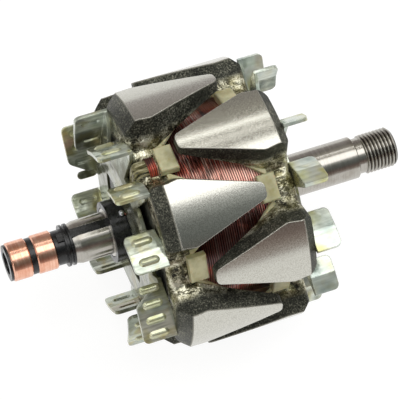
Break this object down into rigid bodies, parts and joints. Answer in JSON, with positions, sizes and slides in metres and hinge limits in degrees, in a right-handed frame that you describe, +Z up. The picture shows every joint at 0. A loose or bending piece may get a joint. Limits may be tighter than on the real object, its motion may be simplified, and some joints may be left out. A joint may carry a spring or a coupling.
{
  "type": "alternator rotor",
  "caption": "Claw-pole alternator rotor: steel shaft with two interlocking claw poles round a field coil, a bladed fan at each end and copper slip rings.",
  "frame": {"origin": "on the shaft axis, in the middle of the drive-end bearing seat", "axes": "+X along the shaft towards the threaded drive end, +Z up through the upper lead slot, +Y completes the right-handed set"},
  "size_m": [0.1618, 0.106, 0.106],
  "materials": {
    "shaft_steel": "ground bright on the seats, plain turned elsewhere",
    "spacer_steel": "turned bright",
    "rear_pole_steel": "dark forged sides, bright turned faces",
    "front_pole_steel": "dark forged sides, bright turned faces",
    "core_steel": "turned, lacquered",
    "bobbin_nylon": "ivory moulded",
    "enamelled_wire": "red-brown enamelled copper wire under varnish",
    "rear_fan_steel": "zinc plated, yellow-green passivated",
    "front_fan_steel": "zinc plated, yellow-green passivated",
    "carrier_plastic": "near-black moulded",
    "ring_copper": "polished copper",
    "strip_copper": "plain copper strip",
    "lead_wire": "enamelled copper wire",
    "sleeve_cloth": "varnished woven sleeving",
    "solder": "bright solder"
  },
  "bodies": {
    "root": {"shaft": "shaft_steel", "drive_end_spacer": "spacer_steel", "rear_claw_pole": "rear_pole_steel", "front_claw_pole": "front_pole_steel", "pole_core": "core_steel", "coil_bobbin": "bobbin_nylon", "field_winding": "enamelled_wire", "rear_fan": "rear_fan_steel", "front_fan": "front_fan_steel", "slip_ring_carrier": "carrier_plastic", "outer_slip_ring": "ring_copper", "inner_slip_ring": "ring_copper", "outer_ring_conductor": "strip_copper", "inner_ring_conductor": "strip_copper", "start_lead": "lead_wire", "end_lead": "lead_wire", "start_lead_sleeve": "sleeve_cloth", "end_lead_sleeve": "sleeve_cloth", "start_solder_joint": "solder", "end_solder_joint": "solder"}
  },
  "joints": []
}
